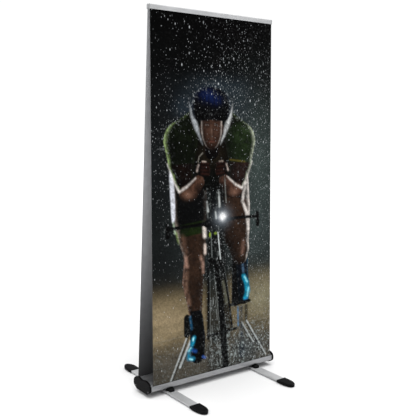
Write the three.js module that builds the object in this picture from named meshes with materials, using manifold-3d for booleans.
// Double-sided roll-up banner stand, raised and ready for use.
// Two printed films rise out of one aluminium base and lean together to a pair of clamp rails, which hang on
// a three-stage telescopic pole between them. Each film winds onto its own spring roller inside the base.
// Two foot bars turn on bolts under the base.
// Millimetres, +Z up, X along the films, the front film on the -Y side, origin on the floor at the middle.
import * as THREE from "three";
import { mergeVertices } from "three/addons/utils/BufferGeometryUtils.js";
import Module from "manifold-3d";

const wasm = await Module();
wasm.setup();

// ---------------------------------------------------------------- driving dimensions

const GAP = 0.3; // air between two pieces that would touch
const SIDES = [
  { name: "rear", turn: 0 },
  { name: "front", turn: Math.PI },
];
const ENDS = [
  { name: "right", turn: 0 },
  { name: "left", turn: Math.PI },
];

// One film, from the slot in the base up to its rail. y is the distance from the middle plane.
const FILM = { width: 850, thick: 0.5, slotY: 78, slotZ: 66, topY: 11.5, topZ: 2090 };

const BASE = { length: 880, bottom: 20, wall: 1.8, channel: 15.2, capThick: 11 };
const PORT = { y: 65, z: 34.8, radius: 3.4, bore: 1.8 }; // screw ports that hold the end caps

const ROLLER = { y: 44, z: 50, radius: 14, wall: 1.2, half: 426.5, wound: 18.2 };
const AXLE = { radius: 3.92, bore: 4.0, outer: 446 };
const SPRING = { from: 160, to: 394, coil: 9, wire: 0.8, turns: 16 };

// The pole's three tubes: outside radius, wall, lower end and upper end.
const POLE_LOWER = { radius: 12.5, wall: 1.2, from: 25.4, to: 722 };
const POLE_MIDDLE = { radius: 11.0, wall: 1.2, from: 662, to: 1362 };
const POLE_UPPER = { radius: 9.5, wall: 1.2, from: 1286, to: 2058 };
const COLLAR = { height: 38, overlap: 32 };

const RAIL = { length: 851, bottom: 2080, height: 27, inner: 2.2, outer: 14.8, capThick: 2.5 };
const GROOVE = { depth: 6.7, bottom: 2085, top: 2093 }; // in the rail's back, where the pole's head hooks in
const SLIT = { inner: 9.6, outer: 12.6, top: 2094 }; // in the rail's underside, where the film goes in

const FOOT = { x: 310, width: 56, thick: 11, bottom: 4, half: 410, wall: 1.8 };
const FOOT_CAP = { width: 66, length: 108, bottom: 1.9, top: 19.2, grip: 44, round: 4.5 };
const PAD = { width: 40, length: 84, thick: 1.6 };
const SADDLE = { width: 34, half: 97, top: 30.5, corner: 8 };
const BOLT = { radius: 4, head: 9 };

// ---------------------------------------------------------------- materials

function material(name, colour, roughness, metalness) {
  const made = new THREE.MeshStandardMaterial({ color: colour, roughness, metalness });
  made.name = name;
  return made;
}

const aluminium = material("aluminium", 0xc3c5c7, 0.38, 0.9);
const steel = material("steel", 0xa4a6a8, 0.3, 1.0);
const blackPlastic = material("black_plastic", 0x1c1c1d, 0.62, 0.0);
const greyPlastic = material("grey_plastic", 0xa9aaab, 0.55, 0.0);
const printedFilm = material("printed_film", 0x4a4d50, 0.5, 0.0);
const clearStrip = material("clamp_strip", 0xd8d9d6, 0.4, 0.0);
const rubber = material("rubber", 0x161616, 0.9, 0.0);

// ---------------------------------------------------------------- solids

/** The closed manifold solid of a three.js geometry. */
function solidOf(geometry) {
  const loose = geometry.index ? geometry.toNonIndexed() : geometry;
  const bare = new THREE.BufferGeometry();
  bare.setAttribute("position", loose.getAttribute("position"));
  const merged = mergeVertices(bare, 1e-4);
  const corners = merged.index.array;
  const kept = [];
  for (let i = 0; i < corners.length; i += 3) {
    const [a, b, c] = [corners[i], corners[i + 1], corners[i + 2]];
    if (a !== b && b !== c && c !== a) kept.push(a, b, c);
  }
  const mesh = new wasm.Mesh({
    numProp: 3,
    vertProperties: merged.attributes.position.array,
    triVerts: new Uint32Array(kept),
  });
  return new wasm.Manifold(mesh);
}

/** A three.js mesh of a manifold solid. */
function pieceOf(name, solid, look) {
  const { numProp, vertProperties, triVerts } = solid.getMesh();
  const positions = new Float32Array((vertProperties.length / numProp) * 3);
  for (let i = 0; i < positions.length / 3; i++) {
    positions.set(vertProperties.subarray(i * numProp, i * numProp + 3), i * 3);
  }
  const indexed = new THREE.BufferGeometry();
  indexed.setAttribute("position", new THREE.BufferAttribute(positions, 3));
  indexed.setIndex(new THREE.BufferAttribute(new Uint32Array(triVerts), 1));
  const geometry = indexed.toNonIndexed();
  geometry.computeVertexNormals();
  const mesh = new THREE.Mesh(geometry, look);
  mesh.name = name;
  return mesh;
}

function shapeOf(points) {
  return new THREE.Shape(points.map(([u, v]) => new THREE.Vector2(u, v)));
}

/** An outline in X and Y, run up from z = from to z = to. */
function prismZ(points, from, to) {
  const geometry = new THREE.ExtrudeGeometry(shapeOf(points), { depth: to - from, bevelEnabled: false });
  geometry.translate(0, 0, from);
  return solidOf(geometry);
}

// Turns a shape drawn in its own x and y, and run along z, into one drawn in Y and Z and run along X.
const ALONG_X = new THREE.Matrix4().set(0, 0, 1, 0, 1, 0, 0, 0, 0, 1, 0, 0, 0, 0, 0, 1);
// The same for a shape drawn in Z and X and run along Y.
const ALONG_Y = new THREE.Matrix4().set(0, 1, 0, 0, 0, 0, 1, 0, 1, 0, 0, 0, 0, 0, 0, 1);

/** An outline in Y and Z, run from x = from to x = to. */
function prismX(points, from, to) {
  const geometry = new THREE.ExtrudeGeometry(shapeOf(points), { depth: to - from, bevelEnabled: false });
  geometry.translate(0, 0, from).applyMatrix4(ALONG_X);
  return solidOf(geometry);
}

/** An outline in Z and X, run from y = from to y = to. */
function prismY(points, from, to) {
  const geometry = new THREE.ExtrudeGeometry(shapeOf(points), { depth: to - from, bevelEnabled: false });
  geometry.translate(0, 0, from).applyMatrix4(ALONG_Y);
  return solidOf(geometry);
}

/** As prismX, with the edges of its far face rounded off by `round`. */
function roundedPrismX(points, from, to, round) {
  const geometry = new THREE.ExtrudeGeometry(shapeOf(points), {
    depth: to - from,
    bevelEnabled: true,
    bevelThickness: round,
    bevelSize: round,
    bevelOffset: -round,
    bevelSegments: 3,
  });
  geometry.translate(0, 0, from - round).applyMatrix4(ALONG_X);
  return solidOf(geometry).intersect(box([from, to], [-1000, 1000], [0, 3000]));
}

function box([x0, x1], [y0, y1], [z0, z1]) {
  const geometry = new THREE.BoxGeometry(x1 - x0, y1 - y0, z1 - z0);
  geometry.translate((x0 + x1) / 2, (y0 + y1) / 2, (z0 + z1) / 2);
  return solidOf(geometry);
}

/** A disc or rod about Z at (x, y). */
function rodZ(radius, from, to, x = 0, y = 0, sides = 48) {
  const geometry = new THREE.CylinderGeometry(radius, radius, to - from, sides);
  geometry.rotateX(Math.PI / 2).translate(x, y, (from + to) / 2);
  return solidOf(geometry);
}

/** A disc or rod about X at (y, z). */
function rodX(radius, from, to, y, z, sides = 48) {
  const geometry = new THREE.CylinderGeometry(radius, radius, to - from, sides);
  geometry.rotateZ(Math.PI / 2).translate((from + to) / 2, y, z);
  return solidOf(geometry);
}

function tubeZ({ radius, wall, from, to }) {
  return rodZ(radius, from, to).subtract(rodZ(radius - wall, from - 1, to + 1));
}

/** The outline of half a section, from (0, z) on one side to (0, z) on the other, completed by its mirror. */
function mirrored(half) {
  const other = half
    .filter(([y]) => y > 0)
    .map(([y, z]) => [-y, z])
    .reverse();
  return [...half, ...other];
}

function smooth(points, steps) {
  const curve = new THREE.SplineCurve(points.map(([u, v]) => new THREE.Vector2(u, v)));
  return curve.getPoints(steps).map((p) => [p.x, p.y]);
}

/** "left" or "right", "front" or "rear", for a piece on the plus or minus side of a group turned by `turn`. */
function placeName(sign, turn, minusName, plusName) {
  return sign * Math.cos(turn) < 0 ? minusName : plusName;
}

// ---------------------------------------------------------------- base

// Half the base's outside, from the flat bottom up: the lower chamfer, the upright face and the lip of the slot.
const FACE = [
  [48, BASE.bottom],
  [52, 21.4],
  [78, 36],
  [81, 40],
  [82, 46],
  [82, 60],
  [81.4, 65],
  [80.8, 67],
];

// The same half from the inner edge of the slot over the roller's lobe to the valley in the middle.
const LOBE = [
  [69.4, 71.4],
  [61, 78],
  [50, 82.8],
  [37, 85.2],
  [24, 84],
  [12, 80.6],
  [0, 77.6],
];

// The inside of one roller chamber, from the lip down, along the floor and up under the lobe.
const CHAMBER = [
  [79.5, 67],
  [80.2, 62],
  [80.2, 46.5],
  [79.4, 41.2],
  [76.9, 37.6],
  [51.2, 23.2],
  [47.6, BASE.bottom + BASE.wall],
  [17, BASE.bottom + BASE.wall],
  [17, 80.2],
  [24.4, 82.2],
  [37, 83.4],
  [49.4, 81],
  [60, 76.4],
  [68, 70.1],
  [72.6, 65],
  [74.2, 66],
];

function housingSection() {
  return mirrored([[0, BASE.bottom], ...FACE, ...CHAMBER, ...LOBE]);
}

/** The space in the middle of the profile that the pole stands in. */
function channelHole() {
  const floor = BASE.bottom + BASE.wall;
  return [
    [-BASE.channel, floor],
    [BASE.channel, floor],
    [BASE.channel, 79.4],
    [12, 78.7],
    [0, 75.7],
    [-12, 78.7],
    [-BASE.channel, 79.4],
  ];
}

function baseHousing() {
  const half = BASE.length / 2;
  let housing = prismX(housingSection(), -half, half).subtract(prismX(channelHole(), -half - 1, half + 1));
  for (const y of [-PORT.y, PORT.y]) {
    housing = housing.add(rodX(PORT.radius, -half, half, y, PORT.z, 20));
    housing = housing.subtract(rodX(PORT.bore, -half - 1, half + 1, y, PORT.z, 16));
  }
  housing = housing.subtract(rodZ(15, 70, 90));
  for (const x of [-FOOT.x, FOOT.x]) {
    housing = housing.subtract(rodZ(BOLT.radius + GAP, 15, 25, x, 0, 32));
  }
  return pieceOf("base_housing", housing, aluminium);
}

/** The outline of the plastic end cap, a little larger than the profile it closes. */
function endCapOutline() {
  const edge = smooth(
    [
      [47, 16.4],
      [54, 18],
      [68, 25.4],
      [80.6, 34],
      [85.2, 43],
      [86, 53],
      [85, 63],
      [81, 71.5],
      [72.5, 79.4],
      [58, 85.8],
      [37, 89],
      [16, 85.8],
      [0, 81.6],
    ],
    30,
  );
  return mirrored([[0, 16.4], ...edge]);
}

/** One end of the base, drawn at +X: the cap with its two roller bosses, and the screws that hold it. */
function baseEnd({ name, turn }) {
  const group = new THREE.Group();
  const inner = BASE.length / 2 + GAP;
  const outer = inner + BASE.capThick;
  let cap = roundedPrismX(endCapOutline(), inner, outer, 2.6);
  for (const y of [-ROLLER.y, ROLLER.y]) {
    cap = cap.add(rodX(9, ROLLER.half + 2.5, inner + 1, y, ROLLER.z, 32));
    cap = cap.subtract(rodX(AXLE.radius + GAP, ROLLER.half, AXLE.outer + GAP, y, ROLLER.z));
  }
  for (const y of [-PORT.y, PORT.y]) {
    cap = cap.subtract(rodX(PORT.bore, inner - 1, outer + 1, y, PORT.z, 16));
    cap = cap.subtract(rodX(3.9, outer - 3.2, outer + 1, y, PORT.z, 24));
    const head = rodX(3.5, outer - 2.8, outer - 0.6, y, PORT.z, 24);
    const shank = rodX(PORT.bore - GAP, inner - 16, outer - 2, y, PORT.z, 16);
    const socket = rodX(1.7, outer - 1.9, outer + 1, y, PORT.z, 6);
    const side = placeName(y, turn, "front", "rear");
    group.add(pieceOf(`${name}_cap_screw_${side}`, head.add(shank).subtract(socket), steel));
  }
  group.add(pieceOf(`${name}_end_cap`, cap, blackPlastic));
  group.rotation.z = turn;
  return group;
}

// ---------------------------------------------------------------- one side: roller, film and rail

/** Where a line from `point` touches a circle, on the side away from the middle of the stand. */
function tangentPoint([py, pz], [cy, cz], radius) {
  const distance = Math.hypot(py - cy, pz - cz);
  const angle = Math.atan2(pz - cz, py - cy) - Math.acos(radius / distance);
  return [cy + radius * Math.cos(angle), cz + radius * Math.sin(angle)];
}

/** A flat film across the stand's width between two lines, each given as [y, z]. */
function filmMesh(name, [y0, z0], [y1, z1], look) {
  const length = Math.hypot(y1 - y0, z1 - z0);
  const mesh = new THREE.Mesh(new THREE.BoxGeometry(FILM.width, FILM.thick, length), look);
  mesh.name = name;
  mesh.position.set(0, (y0 + y1) / 2, (z0 + z1) / 2);
  mesh.rotation.x = -Math.atan2(y1 - y0, z1 - z0);
  return mesh;
}

/** The plastic plug in one end of the roller tube, drawn at +X. */
function rollerPlug(name) {
  const { y, z, radius, wall, half } = ROLLER;
  const body = rodX(radius - wall - GAP, half - 26, half, y, z, 32);
  const flange = rodX(radius - 0.2, half + GAP, half + 2.1, y, z, 32);
  const neck = rodX(radius - 3, half - 1, half + 1, y, z, 32);
  const bore = rodX(AXLE.bore, half - 30, half + 5, y, z);
  return pieceOf(name, body.add(neck).add(flange).subtract(bore), blackPlastic);
}

class Coil extends THREE.Curve {
  getPoint(t, target = new THREE.Vector3()) {
    const angle = 2 * Math.PI * SPRING.turns * t;
    const x = SPRING.from + (SPRING.to - SPRING.from) * t;
    return target.set(x, SPRING.coil * Math.cos(angle), SPRING.coil * Math.sin(angle));
  }
}

function returnSpring(name) {
  const section = new THREE.Shape();
  section.absarc(0, 0, SPRING.wire, 0, 2 * Math.PI);
  const geometry = new THREE.ExtrudeGeometry(section, {
    steps: SPRING.turns * 10,
    curveSegments: 3,
    extrudePath: new Coil(),
  });
  geometry.translate(0, ROLLER.y, ROLLER.z);
  return pieceOf(name, solidOf(geometry), steel);
}

function roller(side) {
  const { y, z, radius, wall, half, wound } = ROLLER;
  const group = new THREE.Group();
  const tube = rodX(radius, -half, half, y, z).subtract(rodX(radius - wall, -half - 1, half + 1, y, z));
  const filmHalf = FILM.width / 2;
  const roll = rodX(wound, -filmHalf, filmHalf, y, z).subtract(
    rodX(radius + GAP, -filmHalf - 1, filmHalf + 1, y, z),
  );
  const springPlug = rollerPlug(`${side}_roller_spring_plug`);
  const idlePlug = rollerPlug(`${side}_roller_idle_plug`);
  idlePlug.scale.x = -1;
  const shaft = rodX(AXLE.radius, SPRING.from - 10, AXLE.outer, y, z);
  const idlePin = rodX(AXLE.radius, -AXLE.outer, -half + 22, y, z);
  group.add(
    pieceOf(`${side}_roller_tube`, tube, aluminium),
    pieceOf(`${side}_banner_roll`, roll, printedFilm),
    springPlug,
    idlePlug,
    pieceOf(`${side}_spring_shaft`, shaft, steel),
    pieceOf(`${side}_idle_pin`, idlePin, steel),
    returnSpring(`${side}_return_spring`),
  );
  return group;
}

/** Half the width and all the height of a rail's rounded outside, `grow` larger all round. */
function railOutside(grow) {
  const { bottom, height, inner, outer } = RAIL;
  const top = bottom + height;
  return [
    [inner - grow, bottom - grow],
    [outer + grow, bottom - grow],
    [outer + grow, top - 7],
    [outer - 1 + grow, top - 3],
    [outer - 3.6, top - 0.7 + grow],
    [(inner + outer) / 2, top + grow],
    [inner + 3.6, top - 0.7 + grow],
    [inner + 1 - grow, top - 3],
    [inner - grow, top - 7],
  ];
}

function rail(side, turn) {
  const group = new THREE.Group();
  const half = RAIL.length / 2;
  const chamber = [
    [5.2, 2096.4],
    [12, 2096.4],
    [12, 2101],
    [9.6, 2104],
    [7.4, 2104],
    [5.2, 2101],
  ];
  const body = prismX(railOutside(0), -half, half)
    .subtract(prismX(chamber, -half - 1, half + 1))
    .subtract(box([-half - 1, half + 1], [0, GROOVE.depth], [GROOVE.bottom, GROOVE.top]))
    .subtract(box([-half - 1, half + 1], [SLIT.inner, SLIT.outer], [RAIL.bottom - 1, SLIT.top]));
  const stripHalf = FILM.width / 2;
  const strip = box([-stripHalf, stripHalf], [SLIT.inner + 0.2, 10.95], [RAIL.bottom + 1, SLIT.top - 2]);
  group.add(
    pieceOf(`${side}_top_rail`, body, aluminium),
    pieceOf(`${side}_clamp_strip`, strip, clearStrip),
  );
  for (const sign of [-1, 1]) {
    const end = placeName(sign, turn, "left", "right");
    const cap = roundedPrismX(railOutside(0.25), half + GAP, half + GAP + RAIL.capThick, 0.8);
    const mesh = pieceOf(`${side}_rail_cap_${end}`, cap, greyPlastic);
    mesh.scale.x = sign;
    group.add(mesh);
  }
  return group;
}

/** Everything that belongs to one film, drawn at +Y. */
function filmSide({ name, turn }) {
  const group = new THREE.Group();
  const tailTop = [FILM.slotY, FILM.slotZ - 0.6];
  const touch = tangentPoint(tailTop, [ROLLER.y, ROLLER.z], ROLLER.wound + FILM.thick / 2 + GAP);
  group.add(
    roller(name),
    filmMesh(`${name}_banner_tail`, touch, tailTop, printedFilm),
    filmMesh(`${name}_banner`, [FILM.slotY, FILM.slotZ], [FILM.topY, FILM.topZ], printedFilm),
    rail(name, turn),
  );
  group.rotation.z = turn;
  return group;
}

// ---------------------------------------------------------------- pole

/** The plastic bush that stands the pole in the base, with a flange shaped to the top of the profile. */
function poleSocket() {
  const floor = BASE.bottom + BASE.wall + GAP;
  const bore = POLE_LOWER.radius + GAP;
  const aboveLobe = LOBE.map(([y, z]) => [y, z + GAP]);
  const covered = prismX(mirrored([[0, 0], [LOBE[0][0], 0], ...aboveLobe]), -60, 60);
  const profile = [
    [0, 70],
    [23, 70],
    [23, 88.5],
    [20.5, 91],
    [0, 91],
  ];
  const turned = new THREE.LatheGeometry(
    profile.map(([r, z]) => new THREE.Vector2(r, z)),
    40,
  );
  turned.rotateX(Math.PI / 2);
  const flange = solidOf(turned).subtract(covered);
  const sleeve = rodZ(14.7, floor, 90);
  const hole = rodZ(bore, POLE_LOWER.from - GAP, 95);
  return pieceOf("pole_socket", flange.add(sleeve).subtract(hole), blackPlastic);
}

/** A ribbed twist-lock collar round the top of `tube`, which grips the next tube inside it. */
function lockCollar(name, tube, grip) {
  const ribs = 20;
  const outline = [];
  for (let i = 0; i < ribs * 4; i++) {
    const angle = (2 * Math.PI * i) / (ribs * 4);
    const radius = i % 4 < 2 ? grip : grip - 0.9;
    outline.push([radius * Math.cos(angle), radius * Math.sin(angle)]);
  }
  const from = tube.to - COLLAR.overlap;
  const body = prismZ(outline, from + 3, from + COLLAR.height - 3)
    .add(rodZ(grip - 0.6, from, from + COLLAR.height))
    .subtract(rodZ(tube.radius + GAP, from - 1, tube.to + GAP))
    .subtract(rodZ(tube.radius - tube.wall, from - 1, from + COLLAR.height + 1));
  return pieceOf(name, body, blackPlastic);
}

/** The pole's head: a sleeve on the upper tube, a shoulder, and a tongue whose lugs hook into both rails. */
function poleHead() {
  const sleeveFrom = POLE_UPPER.to - 26;
  const sleeve = rodZ(10.7, sleeveFrom, 2068).subtract(
    rodZ(POLE_UPPER.radius + GAP, sleeveFrom - 1, POLE_UPPER.to + GAP),
  );
  const shoulder = prismX(
    [
      [-4.6, 2066],
      [4.6, 2066],
      [4.6, 2077],
      [1.7, 2079.4],
      [-1.7, 2079.4],
      [-4.6, 2077],
    ],
    -21,
    21,
  );
  const tongue = box([-21, 21], [-1.7, 1.7], [2078, 2093.4]);
  const lugs = box([-19, 19], [-6.2, 6.2], [GROOVE.bottom + 0.4, GROOVE.top - 1.4]);
  return pieceOf("pole_head", sleeve.add(shoulder).add(tongue).add(lugs), blackPlastic);
}

function pole() {
  const group = new THREE.Group();
  group.add(
    poleSocket(),
    pieceOf("pole_lower_tube", tubeZ(POLE_LOWER), aluminium),
    pieceOf("pole_middle_tube", tubeZ(POLE_MIDDLE), aluminium),
    pieceOf("pole_upper_tube", tubeZ(POLE_UPPER), aluminium),
    lockCollar("pole_lower_collar", POLE_LOWER, 17.4),
    lockCollar("pole_upper_collar", POLE_MIDDLE, 15.2),
    poleHead(),
  );
  return group;
}

// ---------------------------------------------------------------- feet

/** A plan outline with straight sides and an elliptical nose, from y = 0 back to y = -length, seen from above. */
function nosePlan(width, length, straight, steps) {
  const points = [
    [-width / 2, 0],
    [-width / 2, -straight],
  ];
  for (let i = 1; i < steps; i++) {
    const angle = (Math.PI * i) / steps;
    points.push([(-width / 2) * Math.cos(angle), -straight - (length - straight) * Math.sin(angle)]);
  }
  points.push([width / 2, -straight], [width / 2, 0]);
  return points;
}

/** The hollow bar, along Y. */
function footBar() {
  const { width, thick, bottom, wall, half } = FOOT;
  const end = half - FOOT_CAP.length + FOOT_CAP.grip;
  const section = (grow) => {
    const side = width / 2 - grow;
    const low = bottom + grow;
    const high = bottom + thick - grow;
    const corner = 1.6 - grow / 2;
    return [
      [low, -side + corner],
      [low + corner, -side],
      [high - corner, -side],
      [high, -side + corner],
      [high, side - corner],
      [high - corner, side],
      [low + corner, side],
      [low, side - corner],
    ];
  };
  return prismY(section(0), -end, end)
    .subtract(prismY(section(wall), -end - 1, end + 1))
    .subtract(rodZ(BOLT.radius + GAP, 0, 40, 0, 0, 32));
}

/** The moulded toe over the front end of the bar. */
function footCap() {
  const { width, length, bottom, top, grip, round } = FOOT_CAP;
  const geometry = new THREE.ExtrudeGeometry(shapeOf(nosePlan(width, length, 44, 20)), {
    depth: top - bottom - 2 * round,
    bevelEnabled: true,
    bevelThickness: round,
    bevelSize: round,
    bevelOffset: -round,
    bevelSegments: 4,
  });
  geometry.translate(0, -FOOT.half + length, bottom + round);
  const heel = -FOOT.half + length;
  const pocket = box(
    [-FOOT.width / 2 - GAP, FOOT.width / 2 + GAP],
    [heel - grip - GAP, heel + 1],
    [FOOT.bottom - GAP, FOOT.bottom + FOOT.thick + GAP],
  );
  return solidOf(geometry).subtract(pocket);
}

function footPad() {
  const geometry = new THREE.ExtrudeGeometry(shapeOf(nosePlan(PAD.width, PAD.length, 40, 10)), {
    depth: PAD.thick,
    bevelEnabled: false,
  });
  geometry.translate(0, -FOOT.half + PAD.length + 12, 0);
  return solidOf(geometry);
}

/** The moulded block between the base and the bar, with a horn under each lower edge of the base. */
function saddle() {
  const low = FOOT.bottom + FOOT.thick + GAP;
  const sideView = mirrored([
    [0, low],
    [SADDLE.half, low],
    [SADDLE.half, SADDLE.top - 5],
    [SADDLE.half - 4, SADDLE.top - 1.4],
    [SADDLE.half - 9, SADDLE.top],
    [68.6, SADDLE.top - 0.2],
    [52.3, 21.1],
    [48.1, BASE.bottom - GAP],
    [0, BASE.bottom - GAP],
  ]);
  const side = SADDLE.width / 2;
  const { half, corner } = SADDLE;
  const plan = [];
  for (const [x, y, start] of [
    [side - corner, half - corner, 0],
    [corner - side, half - corner, 90],
    [corner - side, corner - half, 180],
    [side - corner, corner - half, 270],
  ]) {
    for (let turn = start; turn <= start + 90; turn += 15) {
      const angle = (turn * Math.PI) / 180;
      plan.push([x + corner * Math.cos(angle), y + corner * Math.sin(angle)]);
    }
  }
  return prismX(sideView, -side, side)
    .intersect(prismZ(plan, 0, 60))
    .subtract(rodZ(BOLT.radius + GAP, 10, 30, 0, 0, 32));
}

function pivotBolt() {
  const profile = [
    [0, 1.3],
    [5.5, 1.3],
    [BOLT.head, 2.9],
    [BOLT.head, FOOT.bottom - GAP],
    [BOLT.radius, FOOT.bottom - GAP],
    [BOLT.radius, 30],
    [0, 30],
  ];
  const geometry = new THREE.LatheGeometry(
    profile.map(([r, z]) => new THREE.Vector2(r, z)),
    32,
  );
  geometry.rotateX(Math.PI / 2);
  return solidOf(geometry).subtract(rodZ(2.5, 0, 3, 0, 0, 6));
}

function pivotNut() {
  const floor = BASE.bottom + BASE.wall + GAP;
  return rodZ(7.4, floor, floor + 5.6, 0, 0, 6).subtract(rodZ(BOLT.radius + GAP, 0, 60, 0, 0, 32));
}

function foot(name, x) {
  const group = new THREE.Group();
  group.add(
    pieceOf(`${name}_foot_bar`, footBar(), aluminium),
    pieceOf(`${name}_foot_saddle`, saddle(), blackPlastic),
    pieceOf(`${name}_pivot_bolt`, pivotBolt(), steel),
    pieceOf(`${name}_pivot_nut`, pivotNut(), steel),
  );
  for (const { name: side, turn } of SIDES) {
    const cap = pieceOf(`${name}_foot_cap_${side}`, footCap(), blackPlastic);
    const pad = pieceOf(`${name}_foot_pad_${side}`, footPad(), rubber);
    cap.rotation.z = turn + Math.PI;
    pad.rotation.z = turn + Math.PI;
    group.add(cap, pad);
  }
  group.position.x = x;
  return group;
}

// ---------------------------------------------------------------- the stand

const stand = new THREE.Group();
stand.name = "banner_stand";
stand.add(baseHousing());
for (const end of ENDS) stand.add(baseEnd(end));
for (const side of SIDES) stand.add(filmSide(side));
stand.add(pole(), foot("left", -FOOT.x), foot("right", FOOT.x));

export default stand;
